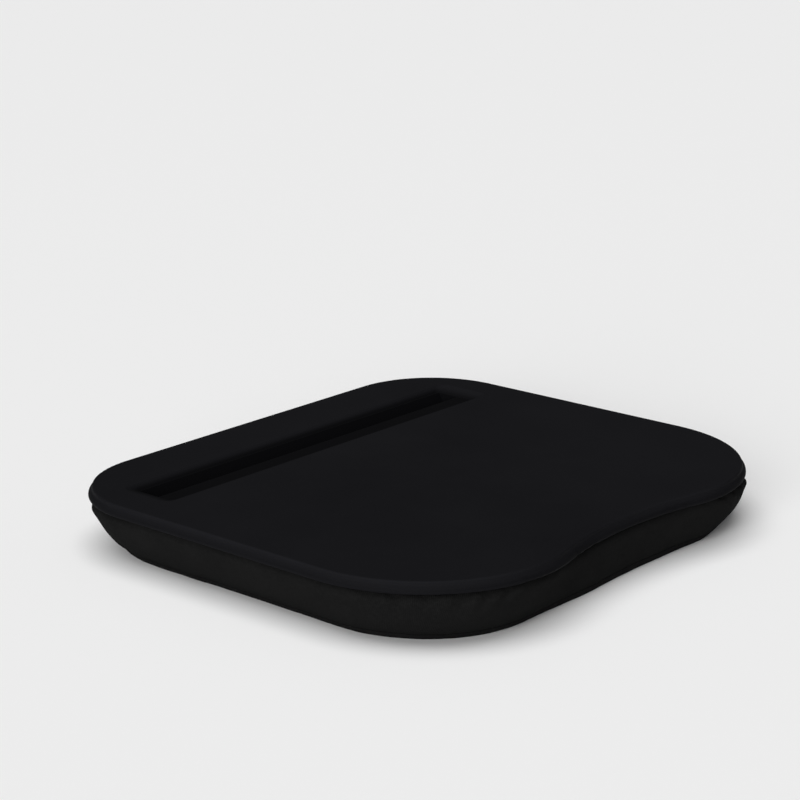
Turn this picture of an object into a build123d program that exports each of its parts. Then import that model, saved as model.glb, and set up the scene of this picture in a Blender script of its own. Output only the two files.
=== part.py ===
from build123d import *
from math import atan2, cos, degrees, pi, radians, sin, sqrt, tan
import os

# Lap tray with a stuffed cushion. Millimetres, +Z up, the user sits on the -Y side.
# The origin is on the surface that the cushion rests on, under the middle of the tray.

os.makedirs("parts", exist_ok=True)

# Tray outline, along the widest line of the rim
tray_width = 303.0
tray_depth = 268.0
back_corner_radius = 55.0
front_corner_radius = 77.5
belly_depth = 9.1

# Deck, and the rolled rim from its crease down to its lower edge
deck_thickness = 2.5
crease_radius = 1.0
cove_height = 1.5
cove_angle = 55.0
brim_height = 2.3
brim_radius = 1.4
rim_wall = 2.0
rim_root_radius = 1.2
rim_seat = 5.0

# Dish near the back edge
dish_from_sides = 21.5
dish_from_back = 35.0
dish_width = 34.0
dish_wall = 2.2
dish_end_run = 9.0
dish_front_run = 0.8
dish_back_run = 3.5
dish_corner_radius = 6.0
dish_floor_corner_radius = 3.0
dish_over_board = 0.7
lip_radius = 0.8

# Slot in the dish's floor, as long as the floor. Its back wall leans back
slot_from_lip = 16.0
slot_floor_width = 8.0
slot_depth = 12.0
slot_lean = 30.0
slot_floor_radius = 1.5
slot_board_clearance = 1.0

# Ribs and bosses under the deck
rib_thickness = 1.6
rib_pitch_across = 38.0
rib_pitch_along = 45.0
ribs_each_side_across = 3
ribs_each_side_along = 2
rib_hem_clearance = 1.0
boss_radius = 4.0
boss_hem_clearance = 4.0

# Screws that hold the board
back_screw_from_corner = 11.5
side_screw_from_middle = 20.0
front_screw_angle = -45.0
screw_radius = 1.45
thread_clearance = 0.05
board_hole_clearance = 0.3
screw_head_radius = 3.5
screw_head_height = 1.8
screw_head_edge = 0.6
drive_length = 3.6
drive_width = 0.8
drive_depth = 1.1
skin_over_screw = 1.2
screw_tip_clearance = 0.3

# Backing board
board_thickness = 3.0

# Hem of the cover, and the staples through it
hem_width = 12.0
staple_count = 28
staple_crown = 10.0
staple_wire = 0.6
staple_width = 1.0
staple_reach_share = 0.8
staple_hole_clearance = 0.05
staple_headroom = 1.8

# Cushion: cover, liner and beads
cushion_height = 28.0
fabric_thickness = 0.8
liner_thickness = 0.5
soft_clearance = 0.3
band_clearance = 0.8
shoulder_drop = 0.4
seam_height = 4.3

# Cushion's side, from its shoulder under the rim to its flat base
side_draw = 14.1
back_draw = 14.8
front_draw = 12.5
base_back_radius = 46.0
base_front_radius = 60.0
base_belly = 0.3
side_bulge = 2.5
bulge_rise = 0.68
side_roundness = 1.38
corner_fullness = 7.5
fullness_rise = 0.75
base_cut_share = 0.982
level_shares = (0, 0.02, 0.06, 0.13, 0.25, 0.42, 0.6, 0.77, 0.9, 0.97, 1)

# One overrun serves every cut, and one distance finds every edge to be rounded
overrun = 1.0
edge_search = 0.01


class Outline:
    """The tray's plan: straight back and sides, four round corners, and a front hollowed by belly."""

    def __init__(self, half_width, back, front, back_radius, front_radius, belly):
        self.half_width = half_width
        self.back = back
        self.front = front
        self.back_radius = back_radius
        self.front_radius = front_radius
        self.belly = belly

    def inset(self, margin):
        """The same outline, moved inwards by margin all round."""
        return Outline(self.half_width - margin, self.back - margin, self.front + margin,
                       self.back_radius - margin, self.front_radius - margin, self.belly)

    def blend(self, other, share):
        """The outline that lies this share of the way to another one."""
        pairs = zip((self.half_width, self.back, self.front, self.back_radius, self.front_radius, self.belly),
                    (other.half_width, other.back, other.front, other.back_radius, other.front_radius,
                     other.belly))
        return Outline(*(here + (there - here) * share for here, there in pairs))

    def front_corner_point(self, angle):
        """A point on the right front corner's arc, at an angle in degrees from +X."""
        return (self.half_width - self.front_radius + self.front_radius * cos(radians(angle)),
                self.front + self.front_radius + self.front_radius * sin(radians(angle)))

    def wire(self, height):
        """The closed wire at a height. It starts on the right side and runs to the back."""
        side_front = self.front + self.front_radius
        side_back = self.back - self.back_radius
        back_end = self.half_width - self.back_radius
        back_bend = self.back_radius * sqrt(1 / 2)
        corner_x = self.half_width - self.front_radius
        hollow_radius = (corner_x**2 + self.belly**2) / (2 * self.belly) - self.front_radius
        hollow_y = self.front + self.belly - hollow_radius
        touch_angle = degrees(atan2(hollow_y - side_front, -corner_x))
        touch_x, touch_y = self.front_corner_point(touch_angle)
        bend_x, bend_y = self.front_corner_point(touch_angle / 2)

        def at(x, y):
            return Vector(x, y, height)

        return Wire([
            Edge.make_line(at(self.half_width, side_front), at(self.half_width, side_back)),
            Edge.make_three_point_arc(at(self.half_width, side_back),
                                      at(back_end + back_bend, side_back + back_bend),
                                      at(back_end, self.back)),
            Edge.make_line(at(back_end, self.back), at(-back_end, self.back)),
            Edge.make_three_point_arc(at(-back_end, self.back),
                                      at(-back_end - back_bend, side_back + back_bend),
                                      at(-self.half_width, side_back)),
            Edge.make_line(at(-self.half_width, side_back), at(-self.half_width, side_front)),
            Edge.make_three_point_arc(at(-self.half_width, side_front), at(-bend_x, bend_y),
                                      at(-touch_x, touch_y)),
            Edge.make_three_point_arc(at(-touch_x, touch_y), at(0, self.front + self.belly),
                                      at(touch_x, touch_y)),
            Edge.make_three_point_arc(at(touch_x, touch_y), at(bend_x, bend_y),
                                      at(self.half_width, side_front)),
        ])

    def slab(self, low, high):
        """A flat plate of this outline between two heights."""
        return extrude(Face(self.wire(low)), amount=high - low, dir=(0, 0, 1))


# Insets from the rim's widest line
brim_run = brim_height * tan(radians(cove_angle / 2))
cove_run = cove_height * tan(radians(cove_angle / 2))
crease_inset = brim_run + cove_run + crease_radius
rim_inner_inset = brim_radius + rim_wall
band_inset = rim_inner_inset + band_clearance
board_inset = band_inset + fabric_thickness
hem_inner_inset = board_inset + hem_width
boss_inset = hem_inner_inset + boss_hem_clearance + boss_radius

# Heights, from the base up
rim_height = crease_radius + cove_height + brim_height + brim_radius
deck_top = cushion_height + rim_height
deck_bottom = deck_top - deck_thickness
boss_height = fabric_thickness + staple_wire + staple_headroom
board_top = deck_bottom - boss_height
board_bottom = board_top - board_thickness
hem_top = board_top + fabric_thickness
shoulder_height = cushion_height - shoulder_drop
dish_depth = deck_top - board_top - dish_wall - dish_over_board
dish_floor = deck_top - dish_depth
slot_floor = deck_top - slot_depth
thread_engagement = boss_height + deck_thickness - skin_over_screw - screw_tip_clearance

# Places
rim_outline = Outline(tray_width / 2, tray_depth / 2, -tray_depth / 2,
                      back_corner_radius, front_corner_radius, belly_depth)
shoulder_outline = rim_outline.inset(band_inset)
base_outline = Outline(shoulder_outline.half_width - side_draw, shoulder_outline.back - back_draw,
                       shoulder_outline.front + front_draw, base_back_radius, base_front_radius, base_belly)
dish_length = tray_width - 2 * dish_from_sides
dish_back = rim_outline.back - dish_from_back
dish_lip = dish_back - dish_width
slot_length = dish_length - 2 * dish_end_run
slot_front = dish_lip + slot_from_lip
boss_outline = rim_outline.inset(boss_inset)
back_screw_x = boss_outline.half_width - boss_outline.back_radius - back_screw_from_corner
front_screw_x, front_screw_y = boss_outline.front_corner_point(front_screw_angle)
screw_places = [
    (-back_screw_x, boss_outline.back),
    (0, boss_outline.back),
    (back_screw_x, boss_outline.back),
    (-boss_outline.half_width, side_screw_from_middle),
    (boss_outline.half_width, side_screw_from_middle),
    (-front_screw_x, front_screw_y),
    (0, boss_outline.front + boss_outline.belly),
    (front_screw_x, front_screw_y),
]


def block(x_low, x_high, y_low, y_high, z_low, z_high):
    """A plain box between its limits."""
    return Pos((x_low + x_high) / 2, (y_low + y_high) / 2, (z_low + z_high) / 2) * Box(
        x_high - x_low, y_high - y_low, z_high - z_low)


def post(x, y, radius, low, high):
    """An upright cylinder between two heights."""
    return Pos(x, y, (low + high) / 2) * Cylinder(radius, high - low)


def rounded_plan(half_length, front, back, radius, height):
    """A rectangle with round corners, symmetric about the Y axis, at a height."""
    middle = Plane(origin=(0, (front + back) / 2, height))
    return middle * RectangleRounded(2 * half_length, back - front, radius)


def dish_block(margin, low, high):
    """The dish's space between two heights, grown sideways by margin, with its sloping ends."""
    upper = rounded_plan(dish_length / 2 + margin, dish_lip - margin, dish_back + margin,
                         dish_corner_radius + margin, high)
    lower = rounded_plan(dish_length / 2 - dish_end_run + margin, dish_lip + dish_front_run - margin,
                         dish_back - dish_back_run + margin, dish_floor_corner_radius + margin, low)
    return loft([lower, upper], ruled=True)


def slot_block(margin, high):
    """The slot's space up to a height, grown by margin. Its back wall leans back from the upright."""
    lean_run = tan(radians(slot_lean))
    low = slot_floor - margin
    back_at_floor = slot_front + slot_floor_width + margin / cos(radians(slot_lean))
    corners = [
        (slot_front - margin, low),
        (back_at_floor - margin * lean_run, low),
        (back_at_floor + (high - slot_floor) * lean_run, high),
        (slot_front - margin, high),
    ]
    half_length = slot_length / 2 + margin
    section = Plane.YZ.offset(-half_length) * Polygon(*corners, align=None)
    body = extrude(section, amount=2 * half_length, dir=(1, 0, 0))
    floor_edges = body.faces().sort_by(Axis.Z)[0].edges()
    return fillet(floor_edges, slot_floor_radius + margin)


def edges_at(solid, half_length, front, back, height):
    """A solid's edges whose middles lie between these limits, at this height."""
    near = solid.edges().filter_by_position(Axis.Z, height - edge_search, height + edge_search)
    near = near.filter_by_position(Axis.Y, front - edge_search, back + edge_search)
    return near.filter_by_position(Axis.X, -half_length - edge_search, half_length + edge_search)


def ogee_section():
    """The rim's cut profile at the right side, drawn in the XZ plane through its wire's start."""
    edge = rim_outline.half_width
    widest = (edge, deck_top - crease_radius - cove_height - brim_height)
    brim_top = (edge - brim_run, widest[1] + brim_height)
    crease_end = (brim_top[0] - cove_run, brim_top[1] + cove_height)
    crease_start = (edge - crease_inset, deck_top)
    seat = edge - rim_inner_inset - rim_root_radius - rim_seat
    lower_edge = (edge - brim_radius, cushion_height)
    root_corner = (edge - rim_inner_inset, deck_bottom - rim_root_radius)
    root_end = (edge - rim_inner_inset - rim_root_radius, deck_bottom)
    cove_direction = (sin(radians(cove_angle)), -cos(radians(cove_angle)))
    outer = [
        Line((seat, deck_top), crease_start),
        TangentArc(crease_start, crease_end, tangent=(1, 0)),
        TangentArc(crease_end, brim_top, tangent=(0, -1)),
        TangentArc(brim_top, widest, tangent=cove_direction),
        TangentArc(widest, lower_edge, tangent=(0, -1)),
        Line(lower_edge, (root_corner[0], cushion_height)),
        Line((root_corner[0], cushion_height), root_corner),
        TangentArc(root_corner, root_end, tangent=(0, 1)),
        Line(root_end, (seat, deck_bottom)),
        Line((seat, deck_bottom), (seat, deck_top)),
    ]
    start_y = rim_outline.front + rim_outline.front_radius
    return Plane(origin=(0, start_y, 0), x_dir=(1, 0, 0), z_dir=(0, -1, 0)) * make_face(Curve() + outer)


def make_tray_top():
    """One moulding: deck, rolled rim, dish and slot, with ribs and bosses underneath."""
    rim = sweep(ogee_section(), path=rim_outline.wire(cushion_height))
    deck = rim_outline.inset(rim_inner_inset + rim_root_radius + rim_seat).slab(deck_bottom, deck_top)
    tray = rim + deck
    tray += dish_block(dish_wall, dish_floor - dish_wall, deck_bottom)
    tray += slot_block(dish_wall, dish_floor)
    rib_field = rim_outline.inset(hem_inner_inset + rib_hem_clearance).slab(board_top, deck_bottom)
    rib_lines = []
    for step in range(-ribs_each_side_across, ribs_each_side_across + 1):
        x = step * rib_pitch_across
        rib_lines.append(block(x - rib_thickness / 2, x + rib_thickness / 2, -tray_depth / 2, tray_depth / 2,
                               board_top, deck_bottom))
    for step in range(-ribs_each_side_along, ribs_each_side_along + 1):
        y = step * rib_pitch_along
        rib_lines.append(block(-tray_width / 2, tray_width / 2, y - rib_thickness / 2, y + rib_thickness / 2,
                               board_top, deck_bottom))
    tray += [line & rib_field for line in rib_lines]
    tray += [post(x, y, boss_radius, board_top, deck_bottom) for x, y in screw_places]
    tray -= dish_block(0, dish_floor, deck_top)
    tray -= slot_block(0, deck_top)
    tray = fillet(edges_at(tray, dish_length / 2, dish_lip, dish_back, deck_top), lip_radius)
    tray = fillet(edges_at(tray, dish_length / 2, slot_front, slot_front, dish_floor), lip_radius)
    pilot_top = board_top + thread_engagement + screw_tip_clearance
    tray -= [post(x, y, screw_radius + thread_clearance, board_top - overrun, pilot_top)
             for x, y in screw_places]
    return tray


def make_backing_board():
    """Hardboard panel with a cut-out for the slot, and a hole for each screw."""
    board = rim_outline.inset(board_inset).slab(board_bottom, board_top)
    board -= slot_block(dish_wall + slot_board_clearance, deck_bottom)
    board -= [post(x, y, screw_radius + board_hole_clearance, board_bottom - overrun, board_top + overrun)
              for x, y in screw_places]
    return board - staple_legs(staple_hole_clearance)


def make_board_screws():
    """Washer-head screws, heads under the board and tips in the bosses, each with a cross drive."""
    head_low = board_bottom - screw_head_height
    screws = []
    for x, y in screw_places:
        head = post(x, y, screw_head_radius, head_low, board_bottom)
        head = fillet(head.edges().sort_by(Axis.Z)[0], screw_head_edge)
        shank = post(x, y, screw_radius, board_bottom, board_top + thread_engagement)
        drive = Pos(x, y, head_low + drive_depth / 2) * (Box(drive_length, drive_width, drive_depth)
                                                         + Box(drive_width, drive_length, drive_depth))
        screws.append(head + shank - drive)
    return Compound(screws)


def staple_planes():
    """A plane for each staple, on the hem, with its crown along the board's edge."""
    path = rim_outline.inset(board_inset + hem_width / 2).wire(hem_top)
    for number in range(staple_count):
        share = (number + 1 / 2) / staple_count
        yield Plane(origin=path.position_at(share), x_dir=path.tangent_at(share), z_dir=(0, 0, 1))


def staple_legs(margin):
    """Both legs of every staple, grown by margin, from the crown down into the board."""
    reach = fabric_thickness + board_thickness * staple_reach_share
    leg = Box(staple_wire + 2 * margin, staple_width + 2 * margin, reach + margin,
              align=(Align.CENTER, Align.CENTER, Align.MAX))
    spread = (staple_crown - staple_wire) / 2
    return [plane * Pos(side * spread, 0, 0) * leg for plane in staple_planes() for side in (-1, 1)]


def make_hem_staples():
    """Wire staples lying on the hem, legs down through it into the board."""
    legs = staple_legs(0)
    staples = []
    for number, plane in enumerate(staple_planes()):
        crown = plane * Box(staple_crown, staple_width, staple_wire,
                            align=(Align.CENTER, Align.CENTER, Align.MIN))
        staples.append(crown + legs[2 * number] + legs[2 * number + 1])
    return Compound(staples)


def cushion_section(share, margin):
    """The cushion's outline at a share of its height from base to shoulder, inset by margin."""
    fall = base_cut_share * (1 - share)
    draw = 1 - (1 - fall**side_roundness)**(1 / side_roundness)
    bulge = side_bulge * sin(pi * fall**bulge_rise)
    section = shoulder_outline.blend(base_outline, draw).inset(margin - bulge)
    section.front_radius -= corner_fullness * sin(pi * fall**fullness_rise)
    return section


def cushion_form(margin, top):
    """The cushion's outer form, drawn in to its flat base, shrunk by margin and cut off at top."""
    sections = [Face(cushion_section(share, margin).wire(margin + (shoulder_height - margin) * share))
                for share in level_shares]
    form = loft(sections)
    form += cushion_section(1, margin).slab(shoulder_height - overrun, hem_top + overrun)
    limit = rim_outline.slab(-overrun, top)
    return form & limit


def make_cover_side_band():
    """Fabric side of the cushion, turned in over the board's top face as a hem."""
    band = cushion_form(0, hem_top) - cushion_form(fabric_thickness, board_top)
    band -= rim_outline.inset(hem_inner_inset).slab(board_top - overrun, hem_top + overrun)
    band -= rim_outline.slab(-overrun, seam_height)
    return band - staple_legs(staple_hole_clearance)


def make_cover_bottom_panel():
    """Fabric base of the cushion, up to the seam with the side band."""
    panel = cushion_form(0, seam_height) - cushion_form(fabric_thickness, seam_height + overrun)
    return panel


def stuffing_space(margin):
    """The room inside the cover and under the board, less the slot's tub and the screw heads."""
    space = cushion_form(margin, board_bottom - (margin - fabric_thickness))
    space -= slot_block(dish_wall + slot_board_clearance + margin - fabric_thickness, deck_bottom)
    head_low = board_bottom - screw_head_height
    growth = margin - fabric_thickness
    return space - [post(x, y, screw_head_radius + growth, head_low - growth, board_bottom + overrun)
                    for x, y in screw_places]


def make_liner_bag():
    """Thin bag round the beads, dented by the slot's tub and by the screw heads."""
    outside = fabric_thickness + soft_clearance
    return stuffing_space(outside) - stuffing_space(outside + liner_thickness)


def make_bead_fill():
    """The beads, as one solid that fills the liner."""
    return stuffing_space(fabric_thickness + liner_thickness + 2 * soft_clearance)


nodes = {
    "tray_top": make_tray_top,
    "backing_board": make_backing_board,
    "board_screws": make_board_screws,
    "hem_staples": make_hem_staples,
    "cover_side_band": make_cover_side_band,
    "cover_bottom_panel": make_cover_bottom_panel,
    "liner_bag": make_liner_bag,
    "bead_fill": make_bead_fill,
}

for name, make in nodes.items():
    export_step(make(), f"parts/{name}.step")
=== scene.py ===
from math import atan2, cos, exp, pi, radians, sin

import bmesh
import bpy
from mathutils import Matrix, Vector, noise


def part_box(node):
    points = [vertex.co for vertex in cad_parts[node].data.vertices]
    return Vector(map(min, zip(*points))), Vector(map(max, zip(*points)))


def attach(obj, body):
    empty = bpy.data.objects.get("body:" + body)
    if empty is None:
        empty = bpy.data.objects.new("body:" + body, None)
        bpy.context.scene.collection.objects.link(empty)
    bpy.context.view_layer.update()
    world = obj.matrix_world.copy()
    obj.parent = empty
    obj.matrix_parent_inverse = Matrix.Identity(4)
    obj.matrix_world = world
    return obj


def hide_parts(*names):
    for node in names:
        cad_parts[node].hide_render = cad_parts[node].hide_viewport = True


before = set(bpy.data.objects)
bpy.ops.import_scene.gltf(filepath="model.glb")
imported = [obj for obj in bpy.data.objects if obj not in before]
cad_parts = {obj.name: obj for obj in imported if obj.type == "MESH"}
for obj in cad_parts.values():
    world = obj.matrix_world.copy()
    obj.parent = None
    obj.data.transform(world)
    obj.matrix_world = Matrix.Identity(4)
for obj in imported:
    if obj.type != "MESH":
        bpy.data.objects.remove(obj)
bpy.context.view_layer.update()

# Tray top: one moulding in black plastic, with the fine matt grain of its mould. Its imported shape stays.
# The deck has faint paler smears. The rim carries painted shade, uneven with the smears,
# and the floors of the dish and the slot carry darker painted shade: the moulding is all one plastic.
plastic_colour = (0.0072, 0.0072, 0.0084)
plastic_smear_colour = (0.0088, 0.0088, 0.0101)
# Painted shade on the rim's faces.
plastic_rim_shade_colour = (0.0050, 0.0050, 0.0058)
# Darker painted shade on the floors of the dish and the slot.
plastic_dish_shade_colour = (0.0031, 0.0031, 0.0036)
plastic_roughness = (0.62, 0.7)
plastic_gloss = 0.018
mould_grain, mould_grain_depth = 0.0008, 0.0002
smear_size = 0.07
grain_detail, smear_detail = 2.0, 5.0
deck_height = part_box("tray_top")[1].z
# Where the rim's painted shade lies, and how the smears make it uneven.
rim_shade_height, rim_shade_reach = deck_height - 0.0040, 0.0030
rim_shade_least, rim_shade_by_smears = 0.5, 0.8
# Where the painted shade of the dish and the slot lies, and how it fades in below the deck.
dish_front, dish_half_length, dish_end_fade = 0.060, 0.130, 0.010
dish_shade_start_height, dish_shade_fade = deck_height - 0.0006, 0.0016


def new_material(name):
    """A new material, its node tree and its Principled BSDF."""
    material = bpy.data.materials.new(name)
    material.use_nodes = True
    return material, material.node_tree, material.node_tree.nodes["Principled BSDF"]


def add_node(tree, kind, sockets=None, **settings):
    """A node with its settings, and its sockets set to values or linked from other sockets."""
    node = tree.nodes.new(kind)
    for name, value in settings.items():
        setattr(node, name, value)
    for key, value in (sockets or {}).items():
        if isinstance(value, bpy.types.NodeSocket):
            tree.links.new(value, node.inputs[key])
        else:
            node.inputs[key].default_value = value
    return node


def math_node(tree, operation, first, second=0.0, third=0.0, clamp=False):
    """The result of one math node."""
    return add_node(tree, "ShaderNodeMath", {0: first, 1: second, 2: third}, operation=operation,
                    use_clamp=clamp).outputs[0]


def stepped(tree, factor, ends, between):
    """A colour or a grey that goes from one end to the other while the factor crosses a span."""
    ramp = add_node(tree, "ShaderNodeValToRGB", {"Fac": factor})
    for element, position, value in zip(ramp.color_ramp.elements, between, ends):
        element.position = position
        element.color = (*value, 1) if isinstance(value, tuple) else (value, value, value, 1)
    return ramp.outputs["Color"]


def mixed_in(tree, share, colour, other_colour):
    """A colour that turns into another one as the share goes from 0 to 1."""
    mix = add_node(tree, "ShaderNodeMix", {"Factor": share}, data_type="RGBA")
    sockets = {socket.identifier: socket for socket in (*mix.inputs, *mix.outputs)}
    tree.links.new(colour, sockets["A_Color"])
    sockets["B_Color"].default_value = (*other_colour, 1)
    return sockets["Result_Color"]


def raise_grain(tree, surface, height, strength, depth, over=None):
    """Puts a height on a surface as a bump, by itself or over another bump's normal."""
    bump = add_node(tree, "ShaderNodeBump", {"Height": height, "Strength": strength, "Distance": depth})
    if over is not None:
        tree.links.new(over, bump.inputs["Normal"])
    tree.links.new(bump.outputs["Normal"], surface.inputs["Normal"])


def new_group(name, inputs, outputs):
    """An empty shader group with float inputs and their defaults, and float outputs."""
    group = bpy.data.node_groups.new(name, "ShaderNodeTree")
    for label, value in inputs.items():
        socket = group.interface.new_socket(label, in_out="INPUT", socket_type="NodeSocketFloat")
        socket.default_value = value
    for label in outputs:
        group.interface.new_socket(label, in_out="OUTPUT", socket_type="NodeSocketFloat")
    return group, add_node(group, "NodeGroupInput").outputs, add_node(group, "NodeGroupOutput").inputs


def make_grain_group():
    """Grain and smears: a fine height for bumps, and a slow mask for smears and patches."""
    group, given, result = new_group("grain_and_smears", {"Grain": mould_grain, "Smear": smear_size},
                                     ("Height", "Smears"))
    place = add_node(group, "ShaderNodeTexCoord").outputs["Object"]
    for label, size, detail in (("Height", "Grain", grain_detail), ("Smears", "Smear", smear_detail)):
        scale = math_node(group, "DIVIDE", 1.0, given[size])
        texture = add_node(group, "ShaderNodeTexNoise", {"Vector": place, "Scale": scale, "Detail": detail})
        group.links.new(texture.outputs["Fac"], result[label])
    return group


grain_and_smears = make_grain_group()


def use_group(tree, group, **values):
    """A group placed in a material with its own values."""
    return add_node(tree, "ShaderNodeGroup", values, node_tree=group).outputs


def make_tray_plastic():
    """Matt plastic with smears, painted shade on the rim, and darker painted shade in the dish and slot."""
    material, tree, surface = new_material("tray_plastic_matt")
    grain = use_group(tree, grain_and_smears, Grain=mould_grain, Smear=smear_size)
    place = add_node(tree, "ShaderNodeTexCoord").outputs["Object"]
    across, back, up = add_node(tree, "ShaderNodeSeparateXYZ", {"Vector": place}).outputs

    # The rim's painted shade: a band round the rim's height, uneven with the smears.
    from_rim = math_node(tree, "ABSOLUTE", math_node(tree, "SUBTRACT", up, rim_shade_height))
    off_rim = math_node(tree, "DIVIDE", from_rim, rim_shade_reach)
    on_rim = math_node(tree, "SUBTRACT", 1.0, off_rim, clamp=True)
    rim_shade_mottle = math_node(tree, "MULTIPLY_ADD", grain["Smears"], rim_shade_by_smears, rim_shade_least)
    rim_shade = math_node(tree, "MULTIPLY", on_rim, rim_shade_mottle, clamp=True)

    # The painted shade of the dish and the slot: inside the dish, and below the deck.
    from_end = math_node(tree, "SUBTRACT", dish_half_length, math_node(tree, "ABSOLUTE", across))
    off_end = math_node(tree, "DIVIDE", from_end, dish_end_fade, clamp=True)
    in_dish = math_node(tree, "MULTIPLY", math_node(tree, "GREATER_THAN", back, dish_front), off_end)
    depth = math_node(tree, "SUBTRACT", dish_shade_start_height, up)
    dish_shade = math_node(tree, "MULTIPLY", in_dish, math_node(tree, "DIVIDE", depth, dish_shade_fade, clamp=True))
    rim_shade = math_node(tree, "MULTIPLY", rim_shade, math_node(tree, "SUBTRACT", 1.0, in_dish))

    colour = stepped(tree, grain["Smears"], (plastic_colour, plastic_smear_colour), between=(0.35, 0.7))
    # Painted shade on the rim.
    colour = mixed_in(tree, rim_shade, colour, plastic_rim_shade_colour)
    # Darker painted shade on the floors of the dish and the slot.
    colour = mixed_in(tree, dish_shade, colour, plastic_dish_shade_colour)
    tree.links.new(colour, surface.inputs["Base Color"])
    tree.links.new(stepped(tree, grain["Smears"], plastic_roughness, between=(0.3, 0.72)),
                   surface.inputs["Roughness"])
    raise_grain(tree, surface, grain["Height"], strength=0.3, depth=mould_grain_depth)
    surface.inputs["Specular IOR Level"].default_value = plastic_gloss
    return material


def finish_node(name, material):
    """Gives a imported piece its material."""
    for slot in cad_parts[name].material_slots:
        slot.material = material


finish_node("tray_top", make_tray_plastic())

# Backing board: 3 mm brown hardboard, smooth on its lower face, cut out for the slot's tub.
# It carries the cushion and is screwed up into the tray's bosses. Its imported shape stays.
board_colour = (0.20, 0.115, 0.058)
board_dark_colour = (0.125, 0.066, 0.031)
board_roughness = (0.62, 0.78)
fibre_size, fibre_depth = 0.0012, 0.0003
board_patch_size = 0.02


def make_hardboard():
    """Pressed brown fibres, in slow darker patches."""
    material, tree, surface = new_material("hardboard_brown")
    grain = use_group(tree, grain_and_smears, Grain=fibre_size, Smear=board_patch_size)
    tree.links.new(stepped(tree, grain["Smears"], (board_dark_colour, board_colour), between=(0.3, 0.7)),
                   surface.inputs["Base Color"])
    tree.links.new(stepped(tree, grain["Height"], board_roughness, between=(0.3, 0.7)),
                   surface.inputs["Roughness"])
    raise_grain(tree, surface, grain["Height"], strength=0.4, depth=fibre_depth)
    return material


finish_node("backing_board", make_hardboard())

# Screws and staples: zinc-plated steel. Eight washer-head screws go up through the board into the bosses,
# and twenty-eight wire staples hold the cover's hem to the board's top face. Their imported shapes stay.
zinc_colour = (0.56, 0.57, 0.58)
zinc_dull_colour = (0.36, 0.36, 0.35)
zinc_roughness = (0.46, 0.28)
plating_grain, plating_depth = 0.0005, 0.0001
plating_patch_size = 0.004


def make_zinc():
    """Zinc plating, dulled in patches."""
    material, tree, surface = new_material("zinc_plated_steel")
    grain = use_group(tree, grain_and_smears, Grain=plating_grain, Smear=plating_patch_size)
    tree.links.new(stepped(tree, grain["Smears"], (zinc_dull_colour, zinc_colour), between=(0.35, 0.65)),
                   surface.inputs["Base Color"])
    tree.links.new(stepped(tree, grain["Smears"], zinc_roughness, between=(0.3, 0.7)),
                   surface.inputs["Roughness"])
    raise_grain(tree, surface, grain["Height"], strength=0.2, depth=plating_depth)
    surface.inputs["Metallic"].default_value = 1.0
    return material


zinc = make_zinc()
finish_node("board_screws", zinc)
finish_node("hem_staples", zinc)

# Beads: loose expanded beads, 2 to 4 mm, poured into the liner. They are one lumpy mass, which takes
# the dents of the slot's tub and of the screw heads from the space under the board.
bead_size = 0.0036
bead_relief, bead_roundness = 0.0009, 1.6
bead_net = 0.0016
# Painted shade: the foam's grey falls from the beads' tops into the gaps between them.
bead_greys_with_gap_shade = (0.86, 0.62)
bead_grain, bead_grain_depth = 0.0006, 0.0002
bead_patch_size = 0.01
bead_roughness = 0.62
bead_glow = 0.1
merge_distance = 0.00001


def remeshed_copy(node_name, piece_name, net, move_out):
    """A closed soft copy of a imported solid, on an even net. move_out gives each point's way outwards."""
    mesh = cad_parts[node_name].data.copy()
    form = bmesh.new()
    form.from_mesh(mesh)
    bmesh.ops.remove_doubles(form, verts=form.verts, dist=merge_distance)
    form.to_mesh(mesh)
    form.free()
    piece = bpy.data.objects.new(piece_name, mesh)
    bpy.context.scene.collection.objects.link(piece)
    remesh = piece.modifiers.new("net", "REMESH")
    remesh.mode, remesh.voxel_size, remesh.use_smooth_shade = "VOXEL", net, True
    bpy.context.view_layer.update()
    shape = bpy.data.meshes.new_from_object(piece.evaluated_get(bpy.context.evaluated_depsgraph_get()))
    piece.modifiers.clear()
    piece.data = shape
    moved = [vertex.co + vertex.normal * move_out(vertex.co) for vertex in shape.vertices]
    shape.vertices.foreach_set("co", [number for place in moved for number in place])
    shape.update()
    shape.materials.clear()
    return piece


def bead_hollow(place):
    """How far the gaps between the outermost beads lie below their tops."""
    distances, _ = noise.voronoi(place / bead_size, distance_metric="DISTANCE", exponent=2.0)
    return -bead_relief * min(distances[0] ** 2 * bead_roundness, 1.0)


def make_bead_foam():
    """White foam, with painted shade in the gaps between the beads."""
    material, tree, surface = new_material("expanded_beads")
    place = add_node(tree, "ShaderNodeTexCoord").outputs["Object"]
    # Painted shade in the gaps between the beads.
    cells = add_node(tree, "ShaderNodeTexVoronoi", {"Vector": place, "Scale": 1 / bead_size})
    tree.links.new(stepped(tree, cells.outputs["Distance"], bead_greys_with_gap_shade, between=(0.1, 0.7)),
                   surface.inputs["Base Color"])
    grain = use_group(tree, grain_and_smears, Grain=bead_grain, Smear=bead_patch_size)
    raise_grain(tree, surface, grain["Height"], strength=0.3, depth=bead_grain_depth)
    surface.inputs["Roughness"].default_value = bead_roughness
    surface.inputs["Subsurface Weight"].default_value = bead_glow
    return material


beads = remeshed_copy("bead_fill", "beads", bead_net, bead_hollow)
beads.data.materials.append(make_bead_foam())
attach(beads, "root")
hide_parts("bead_fill")

# Liner bag: thin white non-woven cloth, heat-sealed shut round the beads. It lies close on them,
# a little creased, and fills the cover.
liner_thickness = 0.0005
liner_over_beads = 0.00065
liner_crease_depth, liner_crease_size = 0.0001, 0.022
liner_net = 0.0035
liner_greys = (0.60, 0.74)
liner_roughness = (0.82, 0.92)
liner_fibre_size, liner_fibre_depth = 0.0014, 0.0003
liner_patch_size = 0.03
liner_sheen = 0.2


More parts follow.
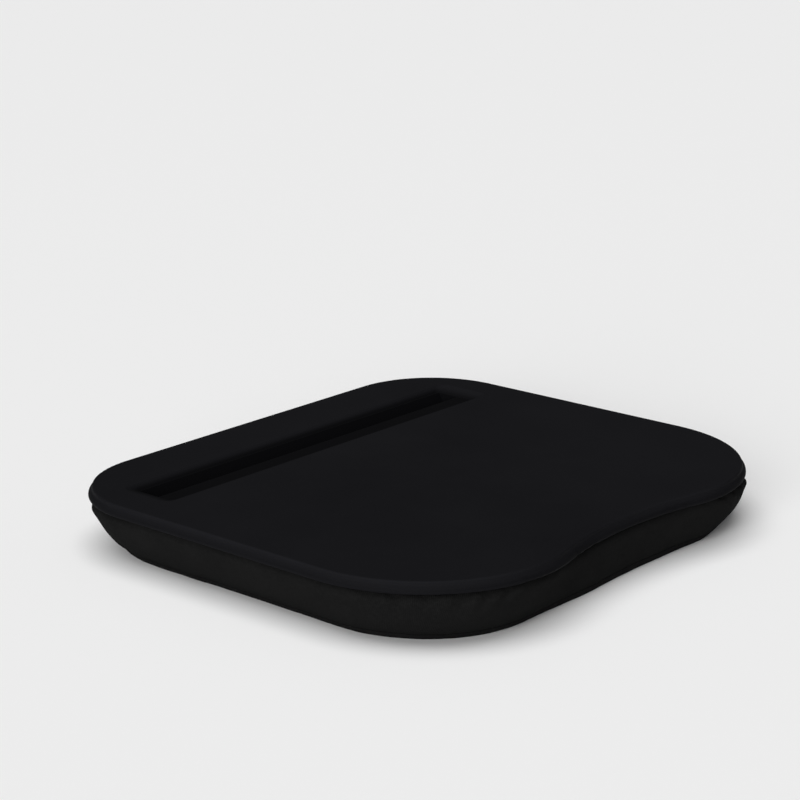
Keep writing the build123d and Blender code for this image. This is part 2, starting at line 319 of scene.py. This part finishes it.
def liner_crease(place):
    """How far the liner's outer face lies off the beads."""
    return liner_over_beads - liner_crease_depth * (1 + noise.noise(place / liner_crease_size))


def make_liner():
    """A closed bag round the beads, with its wall on the inside of its outer face."""
    liner = remeshed_copy("bead_fill", "liner", liner_net, liner_crease)
    wall = liner.modifiers.new("wall", "SOLIDIFY")
    wall.thickness, wall.offset = liner_thickness, -1.0
    return liner


def make_non_woven():
    """White pressed fibres with a faint sheen."""
    material, tree, surface = new_material("non_woven_white")
    grain = use_group(tree, grain_and_smears, Grain=liner_fibre_size, Smear=liner_patch_size)
    tree.links.new(stepped(tree, grain["Height"], liner_greys, between=(0.3, 0.7)),
                   surface.inputs["Base Color"])
    tree.links.new(stepped(tree, grain["Smears"], liner_roughness, between=(0.3, 0.7)),
                   surface.inputs["Roughness"])
    raise_grain(tree, surface, grain["Height"], strength=0.6, depth=liner_fibre_depth)
    surface.inputs["Sheen Weight"].default_value = liner_sheen
    return material


liner = make_liner()
liner.data.materials.append(make_non_woven())
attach(liner, "root")
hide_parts("liner_bag")

# Cover: black close knit in two pieces, a side band and a bottom panel, sewn together inside out and
# turned. The band swells below the rim, and its hem is gathered round the corners and turned in over
# the board. The beads press it outwards, which a short cloth simulation works out.
cloth_thickness = 0.0008
seam_height, shoulder_height = 0.0043, 0.0276
hem_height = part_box("backing_board")[1].z + cloth_thickness
hem_width = 0.012
columns_side, columns_belly = 40, 34
columns_back, columns_back_corner, columns_front_corner = 54, 36, 60

# An outline's sizes are its half width, back, front, back corner, front corner and belly cut.
tray_plan = (0.1515, 0.1340, -0.1340, 0.0550, 0.0775, 0.0091)
shoulder_inset = 0.0042
base_plan = (0.1332, 0.1150, -0.1173, 0.0460, 0.0600, 0.0003)

# The side's profile, from the shoulder down to the base.
side_roundness, base_cut_share = 1.38, 0.982
side_bulge, bulge_rise = 0.0025, 0.68
shoulder_bulge, shoulder_bulge_fall = 0.0013, 0.12
corner_fullness, fullness_rise = 0.0075, 0.75


def straight(x, y, to_x, to_y, columns):
    """The points of a straight stretch, without its last one."""
    return [(x + (to_x - x) * step / columns, y + (to_y - y) * step / columns) for step in range(columns)]


def arc(x, y, radius, start, turn, columns):
    """The points of a round stretch, without its last one, from a start angle on through a turn."""
    angles = [start + turn * step / columns for step in range(columns)]
    return [(x + radius * cos(angle), y + radius * sin(angle)) for angle in angles]


def plan_points(half_width, back, front, back_corner, front_corner, belly):
    """An outline's points, counter-clockwise from the front of its right side."""
    side_front, side_back = front + front_corner, back - back_corner
    back_end, corner_x = half_width - back_corner, half_width - front_corner
    hollow = (corner_x**2 + belly**2) / (2 * belly) - front_corner
    hollow_y = front + belly - hollow
    touch = atan2(hollow_y - side_front, -corner_x)
    hollow_half = atan2(corner_x, side_front - hollow_y)
    return (straight(half_width, side_front, half_width, side_back, columns_side)
            + arc(back_end, side_back, back_corner, 0.0, pi / 2, columns_back_corner)
            + straight(back_end, back, -back_end, back, columns_back)
            + arc(-back_end, side_back, back_corner, pi / 2, pi / 2, columns_back_corner)
            + straight(-half_width, side_back, -half_width, side_front, columns_side)
            + arc(-corner_x, side_front, front_corner, pi, -touch, columns_front_corner)
            + arc(0.0, hollow_y, hollow, pi / 2 + hollow_half, -2 * hollow_half, columns_belly)
            + arc(corner_x, side_front, front_corner, touch, -touch, columns_front_corner))


def grown(plan, by):
    """An outline that lies further out all round, with the same belly cut."""
    half_width, back, front, back_corner, front_corner, belly = plan
    return (half_width + by, back + by, front - by, back_corner + by, front_corner + by, belly)


shoulder_plan = grown(tray_plan, -shoulder_inset)


def cover_row(share, slack=0.0):
    """One row of the cover's outer face, at a share of the height from base to shoulder."""
    fall = base_cut_share * (1 - share)
    draw = 1 - (1 - fall**side_roundness) ** (1 / side_roundness)
    plan = [here + (there - here) * draw for here, there in zip(shoulder_plan, base_plan)]
    swell = side_bulge * sin(pi * fall**bulge_rise) - slack * sin(pi * fall)
    swell += shoulder_bulge * exp(-((fall - shoulder_bulge_fall) / shoulder_bulge_fall)**2)
    plan[4] -= corner_fullness * sin(pi * fall**fullness_rise)
    return [Vector((x, y, shoulder_height * share)) for x, y in plan_points(*grown(plan, swell))]


def base_ring(share):
    """A ring of the flat base, at a share of the way from its middle to its edge."""
    return [Vector((point.x * share, point.y * share, 0.0)) for point in cover_row(0)]


def net_mesh(name, rows):
    """A mesh between closed rows of points, with a UV map in metres along and down the rows."""
    count = len(rows[0])
    corners = [tuple(point) for row in rows for point in row]
    faces = []
    for upper in range(0, (len(rows) - 1) * count, count):
        lower = upper + count
        for column in range(count):
            after = (column + 1) % count
            faces.append((upper + column, lower + column, lower + after, upper + after))
    mesh = bpy.data.meshes.new(name)
    mesh.from_pydata(corners, [], faces)
    along, down = [0.0], [0.0]
    for column in range(count):
        along.append(along[-1] + (rows[0][column] - rows[0][(column + 1) % count]).length)
    for row, next_row in zip(rows, rows[1:]):
        down.append(down[-1] + (row[0] - next_row[0]).length)
    layer = mesh.uv_layers.new(name="cloth")
    for number, face in enumerate(mesh.polygons):
        level, column = divmod(number, count)
        left, right = along[column:column + 2]
        top, bottom = down[level:level + 2]
        places = ((left, top), (left, bottom), (right, bottom), (right, top))
        for loop, place in zip(face.loop_indices, places):
            layer.data[loop].uv = place
    mesh.polygons.foreach_set("use_smooth", [True] * len(mesh.polygons))
    return mesh


band_shares = [1, 0.985, 0.955, 0.91, 0.85, 0.77, 0.68, 0.585, 0.49, 0.4, 0.32, 0.245,
               seam_height / shoulder_height, 0.1, 0.06, 0.03, 0.01, 0]
outer_ring_shares = [0.97, 0.93, 0.87]
inner_ring_shares = [0.78, 0.66, 0.52, 0.38, 0.24, 0.12]
cloth_pressure = 4.0
cloth_mass = 0.2
cloth_quality = 6
cloth_frames = 20
cloth_slack = 0.0012
cloth_reach = 0.003
cloth_liveliness = 0.4
ripple_span = range(-14, 15)


def outward(rows, level, column):
    """The direction out of the cover at one point."""
    row = rows[level]
    along = row[(column + 1) % len(row)] - row[column - 1]
    down = rows[min(level + 1, len(rows) - 1)][column] - rows[max(level - 1, 0)][column]
    return down.cross(along).normalized()


def swollen(rows, full_rows, held):
    """The full rows, with the ripples that the slack cloth takes when the beads press it outwards."""
    piece = bpy.data.objects.new("cloth_trial", net_mesh("cloth_trial", rows))
    bpy.context.scene.collection.objects.link(piece)
    count = len(rows[0])
    group = piece.vertex_groups.new(name="held")
    group.add([level * count + column for level in held for column in range(count)], 1.0, "REPLACE")
    cloth = piece.modifiers.new("cloth", "CLOTH")
    cloth.settings.quality = cloth_quality
    cloth.settings.mass = cloth_mass
    cloth.settings.vertex_group_mass = "held"
    cloth.settings.use_pressure = True
    cloth.settings.uniform_pressure_force = cloth_pressure
    cloth.settings.effector_weights.gravity = 0
    cloth.point_cache.frame_start, cloth.point_cache.frame_end = 1, cloth_frames
    for step in range(1, cloth_frames + 1):
        bpy.context.scene.frame_set(step)
    result = piece.evaluated_get(bpy.context.evaluated_depsgraph_get()).data
    places = [vertex.co.copy() for vertex in result.vertices]
    bpy.data.objects.remove(piece)
    bpy.context.scene.frame_set(1)
    settled = []
    for level, row in enumerate(rows):
        swells = [(places[level * count + column] - row[column]).dot(outward(rows, level, column))
                  for column in range(count)]
        settled.append([])
        for column, filled in enumerate(full_rows[level]):
            usual = sum(swells[(column + step) % count] for step in ripple_span) / len(ripple_span)
            ripple = cloth_liveliness * max(min(swells[column] - usual, cloth_reach), -cloth_reach)
            place = filled + outward(full_rows, level, column) * ripple
            settled[-1].append(Vector((place.x, place.y, max(place.z, 0.0))))
    return settled


outer_rings = [base_ring(share) for share in outer_ring_shares]
full_rows = [cover_row(share) for share in band_shares] + outer_rings
slack_rows = [cover_row(share, cloth_slack) for share in band_shares] + outer_rings
rows = swollen(slack_rows, full_rows, held=(0, *range(len(band_shares), len(full_rows))))

# The gathers lie just under the rim and die out on the straight sides. A turn is in radians a column.
gather_depth, gather_turn = 0.0010, 0.95
gather_wander, gather_wander_step, gather_wander_start = 4, 0.09, 3.1
gather_fall, gather_reach, gather_corner_power = 0.0030, 0.0038, 0.7
pucker_depth, pucker_reach = 0.0012, 0.0032
puckers_at = (Vector((-0.1485, 0.0915, 0.0250)), Vector((0.0965, -0.1270, 0.0245)))
lump_reach, lump_fall_power = 0.024, 0.5
lumps_at = ((-0.119, 0.101, 0.0013), (-0.026, -0.118, 0.0015))
slow_unevenness, slow_unevenness_size = 0.0005, 0.03
fine_unevenness, fine_unevenness_size = 0.00022, 0.011
seam_depth, back_seam_depth, seam_reach = 0.0002, 0.0009, 0.0016
seam_row = band_shares.index(seam_height / shoulder_height)

# How far each column is into a round corner: 0 outside the corners, 1 in a corner's middle.
corner_shares = []
for columns, is_corner in ((columns_side, False), (columns_back_corner, True), (columns_back, False),
                           (columns_back_corner, True), (columns_side, False), (columns_front_corner, True),
                           (columns_belly, False), (columns_front_corner, True)):
    corner_shares += [sin(pi * step / columns) if is_corner else 0.0 for step in range(columns)]


def gather(column, fall):
    """How far the gathers move one point, at a fall below the shoulder."""
    wander = noise.noise(Vector((column * gather_wander_step, gather_wander_start, 0.0))) * gather_wander
    fold = sin(column * gather_turn + wander) * corner_shares[column] ** gather_corner_power
    return gather_depth * fold * exp(-((fall - gather_fall) / gather_reach) ** 2)


def unevenness(point, fall):
    """How far the beads and the puckers move one point: slow lumps, two fuller places, two drawn-in ones."""
    moved = noise.noise(point / slow_unevenness_size) * slow_unevenness
    moved += noise.noise(point / fine_unevenness_size) * fine_unevenness
    for x, y, size in lumps_at:
        away = ((point.x - x) ** 2 + (point.y - y) ** 2) / lump_reach**2
        moved += size * exp(-away) * (fall / shoulder_height) ** lump_fall_power
    for pucker in puckers_at:
        moved -= pucker_depth * exp(-(point - pucker).length_squared / pucker_reach**2)
    return moved


def seam_draw(point, column):
    """How far the seam draws one point in, more round the back corners."""
    drawn_in = seam_depth + (back_seam_depth * corner_shares[column] if point.y > 0 else 0)
    return -drawn_in * exp(-((point.z - seam_height) / seam_reach) ** 2)


def gathered(rows):
    """The rows with gathers under the rim at the corners, a drawn-in seam, and slow lumps from the beads."""
    result = []
    for level, row in enumerate(rows):
        held = level == 0 or level >= len(band_shares) - 1
        line = []
        for column, point in enumerate(row):
            fall = shoulder_height - point.z
            moved = gather(column, fall) + unevenness(point, fall) + seam_draw(point, column)
            place = point if held else point + outward(rows, level, column) * moved
            line.append(Vector((place.x, place.y, max(place.z, 0.0))))
        result.append(line)
    return result


rows = gathered(rows)

# Each row of the hem, from its raw edge outwards: how far inside the shoulder it lies, and how far it drops.
hem_steps = ((hem_width + cloth_thickness, 0.0), (0.0080, 0.0), (0.0030, 0.0), (0.0010, 0.0),
             (0.0002, 0.0003), (0.0, cloth_thickness))


def hem_row(inset, drop):
    """A row of the hem, which lies on the board's top face."""
    return [Vector((x, y, hem_height - drop)) for x, y in plan_points(*grown(shoulder_plan, -inset))]


def linked_piece(name, mesh, material):
    """A piece of the scene with its mesh and its material."""
    piece = bpy.data.objects.new(name, mesh)
    bpy.context.scene.collection.objects.link(piece)
    mesh.materials.append(material)
    return piece


wale_width, course_height = 0.0008, 0.0007
loop_relief, knit_shade_least = 0.3, 0.5


def make_knit_group():
    """Close knit: wales and courses as a height and as painted shade, from a place in metres on the cloth.
    """
    sizes = {"U": 0.0, "V": 0.0, "Wale": wale_width, "Course": course_height}
    group, given, result = new_group("close_knit", sizes, ("Height", "Shade"))
    across = math_node(group, "DIVIDE", given["U"], given["Wale"])
    down = math_node(group, "DIVIDE", given["V"], given["Course"])
    zigzag = math_node(group, "PINGPONG", across, 0.5)
    rib = math_node(group, "ABSOLUTE", math_node(group, "SINE", math_node(group, "MULTIPLY", across, pi)))
    turns = math_node(group, "MULTIPLY", math_node(group, "ADD", down, zigzag), 2 * pi)
    loop = math_node(group, "SINE", turns)
    height = math_node(group, "MULTIPLY", rib,
                       math_node(group, "MULTIPLY_ADD", loop, loop_relief, 1 - loop_relief))
    group.links.new(height, result["Height"])
    shade = math_node(group, "MULTIPLY_ADD", height, 1 - knit_shade_least, knit_shade_least)
    group.links.new(shade, result["Shade"])
    return group


close_knit = make_knit_group()
cloth_colour = (0.0046, 0.0046, 0.0047)
cloth_lit_colour = (0.0097, 0.0097, 0.0096)
cloth_roughness, cloth_gloss = 0.92, 0.02
fuzz_size, knit_depth = 0.0016, 0.0003
cloth_patch_size = 0.025
mottle_least, mottle_by_fuzz, mottle_by_patches = 0.5, 0.9, 0.5
patch_middle = 0.5


def make_knit(name, place_from):
    """The cover's knit, laid out by a piece's UV map or by its place."""
    material, tree, surface = new_material(name)
    place = add_node(tree, "ShaderNodeTexCoord").outputs[place_from]
    parts = add_node(tree, "ShaderNodeSeparateXYZ", {"Vector": place}).outputs
    knit = use_group(tree, close_knit, U=parts["X"], V=parts["Y"])
    grain = use_group(tree, grain_and_smears, Grain=fuzz_size, Smear=cloth_patch_size)
    # Painted shade in the low places of the knit and the fuzz, and slow patches of the cloth's own uneven
    # tone.
    fuzz_shade = math_node(tree, "MULTIPLY_ADD", grain["Height"], mottle_by_fuzz, mottle_least)
    shade = math_node(tree, "MULTIPLY", knit["Shade"], fuzz_shade)
    patches = math_node(tree, "SUBTRACT", grain["Smears"], patch_middle)
    shade_and_mottle = math_node(tree, "MULTIPLY_ADD", patches, mottle_by_patches, shade)
    tree.links.new(stepped(tree, shade_and_mottle, (cloth_colour, cloth_lit_colour), between=(0.3, 0.95)),
                   surface.inputs["Base Color"])
    fuzz = add_node(tree, "ShaderNodeBump", {"Height": grain["Height"], "Strength": 0.5,
                                             "Distance": knit_depth})
    raise_grain(tree, surface, knit["Height"], strength=0.5, depth=knit_depth, over=fuzz.outputs["Normal"])
    surface.inputs["Roughness"].default_value = cloth_roughness
    surface.inputs["Specular IOR Level"].default_value = cloth_gloss
    return material


knit_side = make_knit("knit_side", place_from="UV")
knit_base = make_knit("knit_base", place_from="Object")


def finish_cloth(piece, closed_at=None):
    """One subdivision, then the hole at a height filled, then the cloth's thickness, on its inside."""
    smooth = piece.modifiers.new("smooth", "SUBSURF")
    smooth.levels = smooth.render_levels = 1
    bpy.context.view_layer.update()
    mesh = bpy.data.meshes.new_from_object(piece.evaluated_get(bpy.context.evaluated_depsgraph_get()))
    piece.modifiers.clear()
    piece.data = mesh
    if closed_at is not None:
        form = bmesh.new()
        form.from_mesh(mesh)
        rim = [edge for edge in form.edges
               if edge.is_boundary and abs(edge.verts[0].co.z - closed_at) < cloth_thickness / 2]
        middle = bmesh.ops.contextual_create(form, geom=rim)["faces"]
        bmesh.ops.triangulate(form, faces=middle)
        form.to_mesh(mesh)
        form.free()
    wall = piece.modifiers.new("wall", "SOLIDIFY")
    wall.thickness, wall.offset = cloth_thickness, -1.0


hem_rows = [hem_row(inset, drop) for inset, drop in hem_steps]
band = linked_piece("cover_band", net_mesh("cover_band", hem_rows + rows[:seam_row + 1]), knit_side)
finish_cloth(band)
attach(band, "root")
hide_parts("cover_side_band")

inner_rings = [base_ring(share) for share in inner_ring_shares]
panel = linked_piece("cover_bottom", net_mesh("cover_bottom", rows[seam_row:] + inner_rings), knit_base)
finish_cloth(panel, closed_at=0.0)
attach(panel, "root")
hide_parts("cover_bottom_panel")

# Seam thread: black lockstitches that show as short bars deep in the seam between band and bottom panel.
# Geometry Nodes lay one bar at each stitch along the seam's line.
stitch_pitch, stitch_length = 0.0028, 0.0019
thread_radius, thread_sides = 0.00022, 6
thread_greys = (0.003, 0.006)
thread_roughness, thread_gloss = 0.8, 0.02
thread_grain, thread_grain_depth = 0.0004, 0.0001
thread_patch_size = 0.01


def make_stitch_tree():
    """Bars of thread laid along a line of edges."""
    tree = bpy.data.node_groups.new("seam_stitches", "GeometryNodeTree")
    tree.interface.new_socket("Geometry", in_out="INPUT", socket_type="NodeSocketGeometry")
    for label in ("Pitch", "Length", "Radius"):
        tree.interface.new_socket(label, in_out="INPUT", socket_type="NodeSocketFloat")
    tree.interface.new_socket("Thread", in_out="INPUT", socket_type="NodeSocketMaterial")
    tree.interface.new_socket("Geometry", in_out="OUTPUT", socket_type="NodeSocketGeometry")
    given = add_node(tree, "NodeGroupInput").outputs
    line = add_node(tree, "GeometryNodeMeshToCurve", {"Mesh": given["Geometry"]}).outputs["Curve"]
    spots = add_node(tree, "GeometryNodeResampleCurve", {"Curve": line, "Length": given["Pitch"]},
                     mode="LENGTH").outputs["Curve"]
    tangent = add_node(tree, "GeometryNodeInputTangent").outputs["Tangent"]
    turn = add_node(tree, "FunctionNodeAlignRotationToVector", {"Vector": tangent},
                    axis="Z").outputs["Rotation"]
    bar = add_node(tree, "GeometryNodeMeshCylinder", {
        "Vertices": thread_sides, "Radius": given["Radius"], "Depth": given["Length"]}).outputs["Mesh"]
    laid = add_node(tree, "GeometryNodeInstanceOnPoints", {
        "Points": spots, "Instance": bar, "Rotation": turn}).outputs["Instances"]
    real = add_node(tree, "GeometryNodeRealizeInstances", {"Geometry": laid}).outputs["Geometry"]
    finished = add_node(tree, "GeometryNodeSetMaterial", {"Geometry": real, "Material": given["Thread"]})
    result = add_node(tree, "NodeGroupOutput")
    tree.links.new(finished.outputs["Geometry"], result.inputs["Geometry"])
    return tree


def make_thread():
    """Black sewing thread with a fine twist's grain."""
    material, tree, surface = new_material("seam_thread")
    grain = use_group(tree, grain_and_smears, Grain=thread_grain, Smear=thread_patch_size)
    tree.links.new(stepped(tree, grain["Height"], thread_greys, between=(0.3, 0.7)),
                   surface.inputs["Base Color"])
    raise_grain(tree, surface, grain["Height"], strength=0.4, depth=thread_grain_depth)
    surface.inputs["Roughness"].default_value = thread_roughness
    surface.inputs["Specular IOR Level"].default_value = thread_gloss
    return material


seam_points = [tuple(point) for point in rows[seam_row]]
seam_edges = [(column, (column + 1) % len(seam_points)) for column in range(len(seam_points))]
seam_line = bpy.data.meshes.new("seam_thread")
seam_line.from_pydata(seam_points, seam_edges, [])
stitches = bpy.data.objects.new("seam_thread", seam_line)
bpy.context.scene.collection.objects.link(stitches)
stitching = stitches.modifiers.new("stitches", "NODES")
stitching.node_group = make_stitch_tree()
sockets = {item.name: item.identifier for item in stitching.node_group.interface.items_tree
           if item.in_out == "INPUT"}
stitching[sockets["Pitch"]] = stitch_pitch
stitching[sockets["Length"]] = stitch_length
stitching[sockets["Radius"]] = thread_radius
stitching[sockets["Thread"]] = make_thread()
bpy.context.view_layer.update()
stitched = bpy.data.meshes.new_from_object(stitches.evaluated_get(bpy.context.evaluated_depsgraph_get()))
stitches.modifiers.clear()
stitches.data = stitched
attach(stitches, "root")

# Camera: it stands where the photograph was taken from, beyond the tray's front left corner and above it.
# Its place, its turn, its fall and its lens were fitted to edges in the photograph.
picture_pixels, focal_pixels = 800, 2230.68
film_width = 36.0
camera_place = (-0.86273, -0.71554, 0.39683)
sight_turn, sight_fall = radians(49.49), radians(16.19)
nearest_seen, farthest_seen = 0.05, 60
camera_data = bpy.data.cameras.new("camera")
camera_data.sensor_width = film_width
camera_data.lens = film_width * focal_pixels / picture_pixels
camera_data.clip_start, camera_data.clip_end = nearest_seen, farthest_seen
camera = bpy.data.objects.new("camera", camera_data)
bpy.context.scene.collection.objects.link(camera)
camera.location = camera_place
camera.rotation_mode = "QUATERNION"
sight = Vector((sin(sight_turn) * cos(sight_fall), cos(sight_turn) * cos(sight_fall), -sin(sight_fall)))
camera.rotation_quaternion = sight.to_track_quat("-Z", "Y")
bpy.context.scene.camera = camera

# Studio: a pale paper floor that runs out of sight, a wide soft light from above, and a low one from the
# left that brings out the rim and the cushion's side.
floor_reach = 20.0
paper_colour = (0.9, 0.9, 0.9, 1)
paper_roughness, paper_gloss = 0.95, 0.1
air_colour, air_light = (1, 1, 1, 1), 0.1
floor_mesh = bpy.data.meshes.new("floor")
floor_corners = [(x * floor_reach, y * floor_reach, 0) for x, y in ((-1, -1), (1, -1), (1, 1), (-1, 1))]
floor_mesh.from_pydata(floor_corners, [], [(0, 1, 2, 3)])
paper, _, surface = new_material("floor_paper")
surface.inputs["Base Color"].default_value = paper_colour
surface.inputs["Roughness"].default_value = paper_roughness
surface.inputs["Specular IOR Level"].default_value = paper_gloss
floor = linked_piece("floor", floor_mesh, paper)


def soft_sun(name, comes_from, strength, spread):
    """A far, wide light that comes from a direction."""
    data = bpy.data.lights.new(name, "SUN")
    data.energy, data.angle = strength, radians(spread)
    light = bpy.data.objects.new(name, data)
    bpy.context.scene.collection.objects.link(light)
    light.rotation_mode = "QUATERNION"
    light.rotation_quaternion = (-Vector(comes_from)).to_track_quat("-Z", "Y")


soft_sun("overhead", comes_from=(-0.2, 0.0, 1.0), strength=1.9, spread=60)
soft_sun("low_left", comes_from=(-0.89, -0.33, 0.25), strength=3.0, spread=40)
world = bpy.data.worlds.new("studio")
world.use_nodes = True
world.node_tree.nodes["Background"].inputs["Color"].default_value = air_colour
world.node_tree.nodes["Background"].inputs["Strength"].default_value = air_light
bpy.context.scene.world = world
bpy.context.scene.view_settings.view_transform = "Standard"
